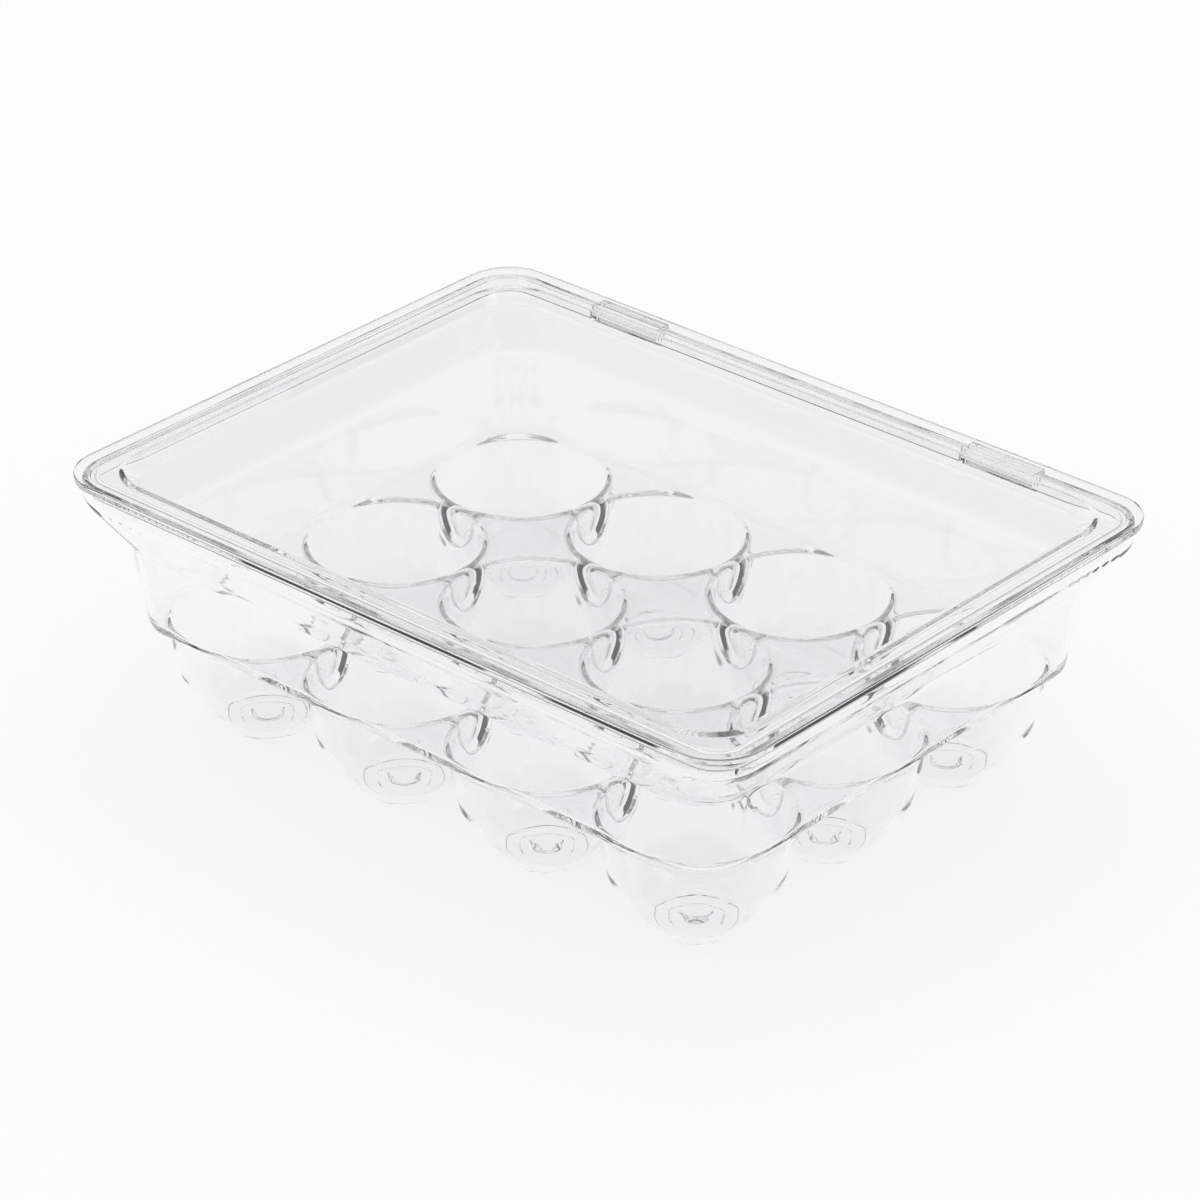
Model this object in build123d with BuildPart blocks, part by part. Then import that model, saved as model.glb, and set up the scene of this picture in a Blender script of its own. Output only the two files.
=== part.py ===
"""Egg keeper with a flip lid: a clear moulded tray of twelve egg cups under a hinged lid.

Millimetres, +Z up. The origin is on the surface the keeper stands on, under its middle.
X runs along the rows of four cups, Y along the rows of three, and the hinge is on the +Y side.

The tray is one moulding and so is the lid. Each is written here as the features it is made of,
which meet face to face: egg cups, walls and hinge rods in the tray, and panel, rim, locating
ribs and hinge clips in the lid.
"""
from build123d import *
import os

# ---------------------------------------------------------------- tray floor and cups
CUPS_X = 4
CUPS_Y = 3
PITCH = 52.0                 # cup to cup, both ways
FLOOR_TOP = 34.0             # top of the floor between the cups
FLOOR_T = 2.0

CUP_CURVE = 2.25             # exponent of both bowl curves: 2 would be an ellipse
CUP_OUT_R = 25.7             # outer bowl: radius at the floor, and depth where it would close
CUP_OUT_DROP = 36.5
CUP_IN_R = 24.1              # inner bowl, the same way
CUP_IN_DROP = 34.8
CUP_DEPTH = 32.0             # down to the flat inside the cup
MOUTH_ROUND = 1.4            # rounded edge where a cup meets the floor
FOOT_R = 11.5                # ring that a cup stands on
FOOT_H = 1.2
FOOT_HOLLOW_R = 7.5
FOOT_HOLLOW_H = 0.5
PIP_R = 4.2                  # round pip in the middle of each cup
PIP_H = 0.6

WEB_HALF_W = 7.1             # solid web between two neighbouring bowls, U-shaped below
WEB_DEPTH = 12.2
WEB_CURVE = 2.2              # exponent of the U
WEB_REACH = 2.6              # from half way between the cups into the bowl's wall

# ---------------------------------------------------------------- tray wall, outside sizes
WALL_T = 1.8
CORNER_R = 14.0
FOOT_HALF_X = 104.4          # at the floor's top
FOOT_HALF_Y = 78.4
BEND_HALF_X = 107.0          # where the wall turns outwards
BEND_HALF_Y = 81.0
BEND_RISE = 23.5
LIP_HALF_X = 116.5           # upright lip
LIP_HALF_Y = 88.0
LIP_RISE = 36.0
LIP_TOP_RISE = 41.3
LIP_CORNER_R = 12.5
LIP_ROUND = 0.7
INNER_BEND_LIFT = 0.65       # the inner bends lie higher, which keeps the wall's thickness

# ---------------------------------------------------------------- lid, insets from its edge
LID_T = 2.2
LID_HALF_X = 118.5
LID_HALF_Y = 90.1
FLANGE_RISE = 43.9           # tops, above the floor's top
PANEL_RISE = 40.9
FLANGE_ROUND = 1.0
STEP_IN = 9.3                # top of the slope between flange and panel
PANEL_IN = 13.4              # foot of that slope
PANEL_CORNER_R = 11.2
STEP_UNDER_IN = 7.8          # the slope's underside
PANEL_UNDER_IN = 12.4
RIB_IN = 4.4                 # locating rib under the flange
RIB_T = 1.5
RIB_BOTTOM_RISE = 38.2

# ---------------------------------------------------------------- hinge
HINGE_X = 67.0               # middle of each rod
HINGE_W = 25.0               # gap in the lip, bridged by the rod
ROD_R = 1.2
ROD_Y = LIP_HALF_Y - WALL_T / 2
ROD_RISE = 40.0
ROD_FIT = 0.08               # running clearance on the radius
CLIP_R = 2.6
CLIP_MOUTH = 1.9
CLIP_SIDE_GAP = 0.4
CLIP_SWEEP_GAP = 0.4

# ---------------------------------------------------------------- worked out from them
FLOOR_BOTTOM = FLOOR_TOP - FLOOR_T
LIP_Z = FLOOR_TOP + LIP_RISE
LIP_TOP = FLOOR_TOP + LIP_TOP_RISE
FLANGE_TOP = FLOOR_TOP + FLANGE_RISE
FLANGE_BOTTOM = FLANGE_TOP - LID_T
PANEL_TOP = FLOOR_TOP + PANEL_RISE
PANEL_BOTTOM = PANEL_TOP - LID_T
RIB_BOTTOM = FLOOR_TOP + RIB_BOTTOM_RISE
ROD_Z = FLOOR_TOP + ROD_RISE
GAP_BOTTOM = ROD_Z - CLIP_R - CLIP_SWEEP_GAP
CLEAR = 10.0                 # how far a cutting shape runs past the material


def rounded_outline(half_x, half_y, radius, z):
    """A level rounded rectangle round the origin, at a height."""
    with BuildSketch(Plane.XY.offset(z)) as outline:
        RectangleRounded(2 * half_x, 2 * half_y, radius)
    return outline.sketch


def lid_outline(inset, radius, z):
    """A level rounded rectangle set in from the lid's edge."""
    return rounded_outline(LID_HALF_X - inset, LID_HALF_Y - inset, radius, z)


# ---------------------------------------------------------------- egg cups
def bowl_radius(top_radius, drop, depth):
    """Radius of a bowl curve at a depth below the floor's top."""
    return top_radius * (1 - (depth / drop) ** CUP_CURVE) ** (1 / CUP_CURVE)


def bowl_points(top_radius, drop, start, end):
    """Points (radius, z) down a bowl curve, closer together where it turns in."""
    steps = 7
    depths = [end - (end - start) * (1 - i / steps) ** 1.6 for i in range(steps + 1)]
    return [(bowl_radius(top_radius, drop, d), FLOOR_TOP - d) for d in depths]


def cup_neighbours(column, row):
    """Directions, in degrees about Z, in which a cup has a neighbour."""
    present = {0: column < CUPS_X - 1, 90: row < CUPS_Y - 1, 180: column > 0, 270: row > 0}
    return [direction for direction, there in present.items() if there]


def web_outline(center, direction):
    """The U of the web between a cup and its neighbour, upright, at the bowl's wall."""
    outward = Vector(1, 0, 0).rotate(Axis.Z, direction)
    across = Vector(0, 1, 0).rotate(Axis.Z, direction)
    origin = center + outward * (PITCH / 2 - WEB_REACH)
    depths = [FLOOR_T / 2, WEB_DEPTH * 0.25, WEB_DEPTH * 0.5, WEB_DEPTH * 0.75, WEB_DEPTH * 0.93]
    half_widths = [WEB_HALF_W * (1 - (d / WEB_DEPTH) ** WEB_CURVE) ** (1 / WEB_CURVE) for d in depths]
    right = [(w, -d) for w, d in zip(half_widths, depths)]
    left = [(-w, -d) for w, d in zip(half_widths, depths)]
    with BuildSketch(Plane(origin=origin, x_dir=across, z_dir=outward)) as outline:
        with BuildLine():
            curve = Spline(*right, (0, -WEB_DEPTH), *reversed(left))
            Line(curve @ 1, curve @ 0)
        make_face()
    return outline.sketch


def floor_square(center, neighbours):
    """Plan of a cup's floor: half way to each neighbour, or out to the tray's outline."""
    east = center.X + PITCH / 2 if 0 in neighbours else FOOT_HALF_X
    north = center.Y + PITCH / 2 if 90 in neighbours else FOOT_HALF_Y
    west = center.X - PITCH / 2 if 180 in neighbours else -FOOT_HALF_X
    south = center.Y - PITCH / 2 if 270 in neighbours else -FOOT_HALF_Y
    with BuildSketch(Plane.XY.offset(FLOOR_BOTTOM)) as square:
        RectangleRounded(2 * FOOT_HALF_X, 2 * FOOT_HALF_Y, CORNER_R)
        with Locations(((east + west) / 2, (north + south) / 2)):
            Rectangle(east - west, north - south, mode=Mode.INTERSECT)
    return square.sketch


def build_cup(column, row):
    """One egg cup with its square of floor, which ends half way to the neighbours."""
    center = Vector((column - (CUPS_X - 1) / 2) * PITCH, (row - (CUPS_Y - 1) / 2) * PITCH, 0)
    mouth = center + Vector(0, 0, FLOOR_TOP)
    half_section = Plane(origin=center, x_dir=(1, 0, 0), z_dir=(0, -1, 0))
    neighbours = cup_neighbours(column, row)

    with BuildPart() as cup:
        extrude(floor_square(center, neighbours), amount=FLOOR_T)

        # outer bowl, standing on its foot ring
        with BuildSketch(half_section):
            with BuildLine():
                bowl = Spline(*bowl_points(CUP_OUT_R, CUP_OUT_DROP, FLOOR_T / 2, FLOOR_TOP - FOOT_H))
                Polyline(
                    bowl @ 1,
                    (FOOT_R, FOOT_H),
                    (FOOT_R, 0),
                    (FOOT_HOLLOW_R, 0),
                    (FOOT_HOLLOW_R - FOOT_HOLLOW_H, FOOT_HOLLOW_H),
                    (0, FOOT_HOLLOW_H),
                    (0, FLOOR_TOP - FLOOR_T / 2),
                    bowl @ 0,
                )
            make_face()
        revolve(axis=Axis(center, (0, 0, 1)))

        # webs towards the neighbours
        for direction in neighbours:
            extrude(web_outline(mouth, direction), amount=WEB_REACH)

        # inside of the bowl, with its rounded mouth and the pip in the middle
        with BuildSketch(half_section):
            with BuildLine():
                edge = CenterArc((CUP_IN_R + MOUTH_ROUND, FLOOR_TOP - MOUTH_ROUND), MOUTH_ROUND, 90, 90)
                inside = Spline(*bowl_points(CUP_IN_R, CUP_IN_DROP, MOUTH_ROUND, CUP_DEPTH))
                Line(edge @ 1, inside @ 0)
                Polyline(
                    inside @ 1,
                    (PIP_R + PIP_H, FLOOR_TOP - CUP_DEPTH),
                    (PIP_R, FLOOR_TOP - CUP_DEPTH + PIP_H),
                    (0, FLOOR_TOP - CUP_DEPTH + PIP_H),
                    (0, FLOOR_TOP + CLEAR),
                    (CUP_IN_R + MOUTH_ROUND, FLOOR_TOP + CLEAR),
                    edge @ 0,
                )
            make_face()
        revolve(axis=Axis(center, (0, 0, 1)), mode=Mode.SUBTRACT)

        # the strip of floor that the wall stands on stays whole
        if len(neighbours) < 4:
            with BuildSketch(Plane.XY.offset(FLOOR_BOTTOM)):
                add(floor_square(center, neighbours))
                RectangleRounded(
                    2 * (FOOT_HALF_X - WALL_T),
                    2 * (FOOT_HALF_Y - WALL_T),
                    CORNER_R - WALL_T,
                    mode=Mode.SUBTRACT,
                )
            extrude(amount=FLOOR_T)
    return cup.part


# ---------------------------------------------------------------- tray walls and hinge rods
def wall_sections(inset, lift):
    """Outlines of the wall's outside, or of its inside when set in, from floor to lip."""
    return [
        rounded_outline(FOOT_HALF_X - inset, FOOT_HALF_Y - inset, CORNER_R - inset, FLOOR_TOP),
        rounded_outline(
            BEND_HALF_X - inset, BEND_HALF_Y - inset, CORNER_R - inset, FLOOR_TOP + BEND_RISE + lift
        ),
        rounded_outline(LIP_HALF_X - inset, LIP_HALF_Y - inset, LIP_CORNER_R - inset, LIP_Z + lift),
    ]


def build_wall_ring():
    """The leaning wall, its flare and its upright lip, with a gap in the lip at each hinge."""
    outer = wall_sections(0, 0)
    inner = wall_sections(WALL_T, INNER_BEND_LIFT)
    with BuildPart() as ring:
        loft([outer[0], outer[1]])
        loft([outer[1], outer[2]])
        extrude(outer[2], amount=LIP_TOP - LIP_Z)
        loft([inner[0], inner[1]], mode=Mode.SUBTRACT)
        loft([inner[1], inner[2]], mode=Mode.SUBTRACT)
        extrude(inner[2], amount=CLEAR, mode=Mode.SUBTRACT)
        fillet(ring.faces().sort_by(Axis.Z)[-1].edges(), LIP_ROUND)
        with Locations((-HINGE_X, ROD_Y, GAP_BOTTOM), (HINGE_X, ROD_Y, GAP_BOTTOM)):
            Box(
                HINGE_W,
                CLEAR,
                CLEAR,
                align=(Align.CENTER, Align.CENTER, Align.MIN),
                mode=Mode.SUBTRACT,
            )
    return ring.part


def side_wedge(side):
    """Plan of the region that one wall fills, parted from the next walls across the corners."""
    corner_x = FOOT_HALF_X - CORNER_R
    corner_y = FOOT_HALF_Y - CORNER_R
    reach = CORNER_R + 3 * CLEAR
    long_side = side in ("front", "back")
    sign = -1 if side in ("front", "left") else 1
    if long_side:
        points = [
            (-corner_x, sign * corner_y),
            (corner_x, sign * corner_y),
            (corner_x + reach, sign * (corner_y + reach)),
            (-corner_x - reach, sign * (corner_y + reach)),
        ]
    else:
        points = [
            (sign * corner_x, -corner_y),
            (sign * corner_x, corner_y),
            (sign * (corner_x + reach), corner_y + reach),
            (sign * (corner_x + reach), -corner_y - reach),
        ]
    with BuildSketch(Plane.XY.offset(FLOOR_TOP - CLEAR)) as wedge:
        with BuildLine():
            Polyline(*points, close=True)
        make_face()
    return wedge.sketch


def build_wall(ring, side):
    """One side of the wall, to the middle of the corner at each end."""
    with BuildPart() as wall:
        add(ring)
        extrude(side_wedge(side), amount=LIP_TOP - FLOOR_TOP + 2 * CLEAR, mode=Mode.INTERSECT)
    return wall.part


def build_rod(side):
    """The round rod that bridges a gap in the lip, moulded to the lip at both ends."""
    with BuildPart() as rod:
        with BuildSketch(Plane.YZ.offset(side * HINGE_X - HINGE_W / 2)):
            with Locations((ROD_Y, ROD_Z)):
                Circle(ROD_R)
        extrude(amount=HINGE_W)
    return rod.part


# ---------------------------------------------------------------- lid
def build_lid_rim():
    """Flat flange and the slope down to the panel, all the way round."""
    middle_corner = PANEL_CORNER_R + PANEL_IN
    with BuildPart() as rim:
        extrude(lid_outline(0, CORNER_R, FLANGE_BOTTOM), amount=LID_T)
        top_edges = rim.faces().sort_by(Axis.Z)[-1].edges()
        bottom_edges = rim.faces().sort_by(Axis.Z)[0].edges()
        fillet(top_edges + bottom_edges, FLANGE_ROUND)
        loft([
            lid_outline(PANEL_UNDER_IN, middle_corner - PANEL_UNDER_IN, PANEL_BOTTOM),
            lid_outline(STEP_UNDER_IN, middle_corner - STEP_UNDER_IN, FLANGE_BOTTOM),
        ])
        loft(
            [
                lid_outline(PANEL_IN, PANEL_CORNER_R, PANEL_TOP),
                lid_outline(STEP_IN, middle_corner - STEP_IN, FLANGE_TOP),
            ],
            mode=Mode.SUBTRACT,
        )
        extrude(
            lid_outline(PANEL_IN, PANEL_CORNER_R, PANEL_BOTTOM),
            amount=LID_T,
            mode=Mode.SUBTRACT,
        )
    return rim.part


def build_lid_panel():
    """The flat panel sunk below the flange."""
    with BuildPart() as panel:
        extrude(lid_outline(PANEL_IN, PANEL_CORNER_R, PANEL_BOTTOM), amount=LID_T)
    return panel.part


def build_ribs():
    """The rib that drops inside the tray's lip, broken at the two hinges: the long one first."""
    with BuildPart() as ribs:
        extrude(lid_outline(RIB_IN, CORNER_R - RIB_IN, RIB_BOTTOM), amount=FLANGE_BOTTOM - RIB_BOTTOM)
        extrude(
            lid_outline(RIB_IN + RIB_T, CORNER_R - RIB_IN - RIB_T, RIB_BOTTOM),
            amount=FLANGE_BOTTOM - RIB_BOTTOM,
            mode=Mode.SUBTRACT,
        )
        with Locations((-HINGE_X, ROD_Y, ROD_Z), (HINGE_X, ROD_Y, ROD_Z)):
            Box(HINGE_W, 2 * CLEAR, 2 * CLEAR, mode=Mode.SUBTRACT)
    return ribs.part.solids().sort_by(SortBy.VOLUME, reverse=True)


def build_clip(side):
    """The open clip under the flange that snaps down over a rod and turns on it."""
    length = HINGE_W - 2 * CLIP_SIDE_GAP
    with BuildPart() as clip:
        with BuildSketch(Plane.YZ.offset(side * HINGE_X - length / 2)):
            with Locations((ROD_Y, ROD_Z)):
                Circle(CLIP_R)
            with Locations((ROD_Y, ROD_Z)):
                Rectangle(2 * CLIP_R, FLANGE_BOTTOM - ROD_Z, align=(Align.CENTER, Align.MIN))
            with Locations((ROD_Y, FLANGE_BOTTOM)):
                Rectangle(4 * CLIP_R, CLIP_R, align=(Align.CENTER, Align.MIN), mode=Mode.SUBTRACT)
            with Locations((ROD_Y, ROD_Z)):
                Circle(ROD_R + ROD_FIT, mode=Mode.SUBTRACT)
            with Locations((ROD_Y, ROD_Z)):
                Rectangle(
                    CLIP_MOUTH,
                    2 * CLIP_R,
                    align=(Align.CENTER, Align.MAX),
                    mode=Mode.SUBTRACT,
                )
        extrude(amount=length)
    return clip.part


# ---------------------------------------------------------------- files
def save(part, name):
    """Label a part and write it to its own file."""
    part.label = name
    export_step(part, f"parts/{name}.step")


def main():
    """Build every part and write it."""
    os.makedirs("parts", exist_ok=True)
    for row in range(CUPS_Y):
        for column in range(CUPS_X):
            save(build_cup(column, row), f"egg_cup_{'abc'[row]}{column + 1}")

    wall_ring = build_wall_ring()
    for side in ("front", "right", "back", "left"):
        save(build_wall(wall_ring, side), f"tray_wall_{side}")
    save(build_rod(-1), "hinge_rod_left")
    save(build_rod(1), "hinge_rod_right")

    save(build_lid_rim(), "lid_rim")
    save(build_lid_panel(), "lid_panel")
    long_rib, back_rib = build_ribs()
    save(long_rib, "lid_rib_long")
    save(back_rib, "lid_rib_back")
    save(build_clip(-1), "lid_clip_left")
    save(build_clip(1), "lid_clip_right")


if __name__ == "__main__":
    main()
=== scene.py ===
"""Egg keeper with a flip lid: the finish of its clear moulded tray and of its hinged lid.

The tray and the lid are each one moulding, so each is one closed skin here. The classes that
shape them work in millimetres, with heights measured from the top of the tray's floor, and
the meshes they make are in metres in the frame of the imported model.
"""

import logging
import math
from dataclasses import dataclass
from enum import Enum

import bmesh
import bpy
import numpy as np
from mathutils import Matrix, Vector

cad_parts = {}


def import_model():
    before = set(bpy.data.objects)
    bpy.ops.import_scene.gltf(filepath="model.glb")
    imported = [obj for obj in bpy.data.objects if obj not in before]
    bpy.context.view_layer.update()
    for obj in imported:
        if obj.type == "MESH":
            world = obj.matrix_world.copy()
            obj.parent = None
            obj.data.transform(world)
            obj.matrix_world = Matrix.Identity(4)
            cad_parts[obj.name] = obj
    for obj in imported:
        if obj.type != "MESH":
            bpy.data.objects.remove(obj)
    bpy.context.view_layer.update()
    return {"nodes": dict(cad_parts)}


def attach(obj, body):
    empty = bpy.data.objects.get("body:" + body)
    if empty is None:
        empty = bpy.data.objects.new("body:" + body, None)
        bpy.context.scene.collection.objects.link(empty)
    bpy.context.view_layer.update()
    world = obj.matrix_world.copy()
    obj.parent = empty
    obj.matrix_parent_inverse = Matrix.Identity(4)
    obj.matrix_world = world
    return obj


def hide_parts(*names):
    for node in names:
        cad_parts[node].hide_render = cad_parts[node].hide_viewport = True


LOG = logging.getLogger("egg_keeper")
METRES = 0.001


# ---------------------------------------------------------------- shape helpers
def smooth_min(a: np.ndarray, b: np.ndarray, width: float) -> np.ndarray:
    """Join two distance fields with a rounded edge.

    Args:
        a: first signed distance.
        b: second signed distance.
        width: how wide the rounding is.

    Returns:
        The joined signed distance.
    """
    overlap = np.maximum(width - np.abs(a - b), 0.0) / width
    return np.minimum(a, b) - overlap * overlap * width / 4.0


def smooth_max(a: np.ndarray, b: np.ndarray, width: float) -> np.ndarray:
    """Intersect two distance fields with a rounded edge.

    Args:
        a: first signed distance.
        b: second signed distance.
        width: how wide the rounding is.

    Returns:
        The intersected signed distance.
    """
    return -smooth_min(-a, -b, width)


def blend(start: np.ndarray, end: np.ndarray, share: float) -> np.ndarray:
    """Point or points a share of the way from start to end."""
    return start * (1.0 - share) + end * share


def rounded_path(corners: list[tuple[float, float, float]], steps: int = 5) -> np.ndarray:
    """Follow straight runs through some corners, each rounded by an arc.

    Args:
        corners: (across, height, radius) of each corner; a radius of 0 keeps it sharp.
        steps: segments in each arc.

    Returns:
        The path's points, as an array of (across, height).
    """
    points: list[np.ndarray] = []
    for index, (across, height, radius) in enumerate(corners):
        corner = np.array((across, height))
        if radius == 0.0 or index in (0, len(corners) - 1):
            points.append(corner)
            continue
        back = np.array(corners[index - 1][:2]) - corner
        ahead = np.array(corners[index + 1][:2]) - corner
        back = back / np.linalg.norm(back)
        ahead = ahead / np.linalg.norm(ahead)
        half_angle = math.acos(float(np.clip(back @ ahead, -1.0, 1.0))) / 2.0
        middle = (back + ahead) / np.linalg.norm(back + ahead)
        centre = corner + middle * radius / math.sin(half_angle)
        reach = radius / math.tan(half_angle)
        first = corner + back * reach - centre
        last = corner + ahead * reach - centre
        sweep = math.pi - 2.0 * half_angle
        for step in range(steps + 1):
            share = step / steps
            points.append(
                centre
                + (first * math.sin((1 - share) * sweep) + last * math.sin(share * sweep))
                / math.sin(sweep)
            )
    return np.array(points)


class SkinMesh:
    """Collects the patches of one closed skin and turns them into a Blender mesh."""

    WELD = 0.008

    def __init__(self) -> None:
        """Start with no patches."""
        self.points: list[np.ndarray] = []
        self.faces: list[tuple[int, ...]] = []
        self.smooth: list[bool] = []
        self.count = 0

    def add_points(self, points: np.ndarray) -> int:
        """Keep some points.

        Args:
            points: an array whose last axis is x, y, z.

        Returns:
            The index of the first one.
        """
        flat = np.asarray(points, dtype=float).reshape(-1, 3)
        first = self.count
        self.points.append(flat)
        self.count += len(flat)
        return first

    def add_grid(self, grid: np.ndarray, closed: bool = False, smooth: bool = True) -> None:
        """Add a patch of quads.

        Args:
            grid: columns by rows by xyz.
            closed: whether the last column joins the first.
            smooth: whether its shading is rounded.
        """
        columns, rows = grid.shape[:2]
        first = self.add_points(grid)
        for column in range(columns if closed else columns - 1):
            here = first + column * rows
            there = first + ((column + 1) % columns) * rows
            for row in range(rows - 1):
                self.faces.append((here + row, there + row, there + row + 1, here + row + 1))
                self.smooth.append(smooth)

    def add_cap(self, outline: np.ndarray) -> None:
        """Add one flat face.

        Args:
            outline: its corners in order, as an array of xyz.
        """
        first = self.add_points(outline)
        self.faces.append(tuple(range(first, first + len(outline))))
        self.smooth.append(False)

    def add_mesh(self, mesh: bpy.types.Mesh) -> None:
        """Add a finished mesh, in this skin's millimetres, as another patch.

        Args:
            mesh: the mesh whose faces join this skin.
        """
        points = np.empty(len(mesh.vertices) * 3)
        mesh.vertices.foreach_get("co", points)
        first = self.add_points(points)
        for polygon in mesh.polygons:
            self.faces.append(tuple(first + vertex for vertex in polygon.vertices))
            self.smooth.append(True)

    def build(self, name: str, lift: float) -> bpy.types.Object:
        """Weld the patches and make the object.

        Args:
            name: the object's name.
            lift: height of the tray floor above the ground, in millimetres.

        Returns:
            The object, at the origin, in metres.
        """
        points = np.concatenate(self.points)
        mesh = bpy.data.meshes.new(name)
        mesh.from_pydata(points.tolist(), [], self.faces)
        mesh.polygons.foreach_set("use_smooth", self.smooth)
        work = bmesh.new()
        work.from_mesh(mesh)
        bmesh.ops.remove_doubles(work, verts=work.verts, dist=self.WELD)
        loose = [vertex for vertex in work.verts if not vertex.link_faces]
        bmesh.ops.delete(work, geom=loose, context="VERTS")
        bmesh.ops.recalc_face_normals(work, faces=work.faces)
        open_edges = sum(1 for edge in work.edges if len(edge.link_faces) != 2)
        volume = work.calc_volume(signed=True)
        bmesh.ops.translate(work, verts=work.verts, vec=(0.0, 0.0, lift))
        bmesh.ops.scale(work, verts=work.verts, vec=(METRES, METRES, METRES))
        work.to_mesh(mesh)
        work.free()
        mesh.update()
        self.set_normals(mesh)
        thing = bpy.data.objects.new(name, mesh)
        bpy.context.scene.collection.objects.link(thing)
        LOG.info(
            "%s: %d faces, %d open edges, %.0f mm3", name, len(mesh.polygons), open_edges, volume
        )
        return thing

    @staticmethod
    def set_normals(mesh: bpy.types.Mesh) -> None:
        """Shade rounded faces by area-weighted normals and flat faces by their own.

        Args:
            mesh: the welded mesh.
        """
        loops = len(mesh.loops)
        corner_vertex = np.empty(loops, dtype=int)
        mesh.loops.foreach_get("vertex_index", corner_vertex)
        faces = len(mesh.polygons)
        normal = np.empty(faces * 3)
        mesh.polygons.foreach_get("normal", normal)
        normal = normal.reshape(-1, 3)
        area = np.empty(faces)
        mesh.polygons.foreach_get("area", area)
        total = np.empty(faces, dtype=int)
        mesh.polygons.foreach_get("loop_total", total)
        rounded = np.empty(faces, dtype=bool)
        mesh.polygons.foreach_get("use_smooth", rounded)
        corner_face = np.repeat(np.arange(faces), total)
        weight = (area * rounded)[corner_face]
        summed = np.zeros((len(mesh.vertices), 3))
        for axis in range(3):
            summed[:, axis] = np.bincount(
                corner_vertex,
                weights=normal[corner_face, axis] * weight,
                minlength=len(mesh.vertices),
            )
        length = np.linalg.norm(summed, axis=1, keepdims=True)
        summed = summed / np.maximum(length, 1e-20)
        split = np.where(rounded[corner_face, None], summed[corner_vertex], normal[corner_face])
        mesh.normals_split_custom_set(split.tolist())


# ---------------------------------------------------------------- tray
@dataclass(frozen=True)
class Bowl:
    """One side of an egg cup's wall: a solid of revolution that closes at a depth."""

    radius: float
    drop: float
    curve: float = 2.25

    def radius_at(self, depth: np.ndarray) -> np.ndarray:
        """Radius at a depth below the floor's top."""
        share = np.clip(np.maximum(depth, 0.0) / self.drop, 0.0, 1.0)
        return self.radius * (1.0 - share**self.curve) ** (1.0 / self.curve)

    def distance(self, across: np.ndarray, height: np.ndarray) -> np.ndarray:
        """Distance from the bowl's curve, measured towards its centre.

        Args:
            across: distance from the cup's axis.
            height: height above the floor's top.

        Returns:
            Signed distance, negative inside the bowl.
        """
        depth = np.maximum(-height, 0.0)
        reach = np.maximum(np.hypot(across, depth), 1e-6)
        shares = (across / self.radius) ** self.curve + (depth / self.drop) ** self.curve
        scale = np.maximum(shares, 1e-9) ** (1.0 / self.curve)
        return reach * (1.0 - 1.0 / scale)


@dataclass(frozen=True)
class WallShape:
    """How the tray's wall stands: outside half lengths from floor to lip."""

    foot: tuple[float, float] = (104.4, 78.4)
    bend: tuple[float, float] = (107.0, 81.0)
    lip: tuple[float, float] = (116.5, 88.0)
    bend_height: float = 23.5
    lip_height: float = 36.0
    top_height: float = 41.3
    thickness: float = 1.8
    foot_corner: float = 14.0
    lip_corner: float = 12.5
    bend_round: float = 1.2
    lip_round: float = 1.2

    def corner(self, height: float) -> float:
        """Outside corner radius at a height."""
        rise = (height - self.bend_height) / (self.lip_height - self.bend_height)
        return self.foot_corner + (self.lip_corner - self.foot_corner) * min(max(rise, 0.0), 1.0)

    def half(self, axis: int, height: float) -> float:
        """Outside half length at a height.

        Args:
            axis: 0 for X, 1 for Y.
            height: height above the floor's top.

        Returns:
            The half length.
        """
        lean = (self.bend[axis] - self.foot[axis]) / self.bend_height
        flare_rise = self.lip_height - self.bend_height
        flare = (self.lip[axis] - self.bend[axis]) / flare_rise
        lower = self.foot[axis] + lean * height
        upper = self.bend[axis] + flare * (height - self.bend_height)
        leaning = smooth_max(lower, upper, self.bend_round)
        return float(smooth_min(leaning, self.lip[axis], self.lip_round))

    def lean(self, axis: int, height: float) -> float:
        """Angle of the wall from upright at a height, in radians.

        Args:
            axis: 0 for X, 1 for Y.
            height: above the tray's floor.

        Returns:
            The angle.
        """
        step = 0.05
        rise = self.half(axis, height + step) - self.half(axis, height - step)
        return math.atan2(rise, 2.0 * step)


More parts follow.
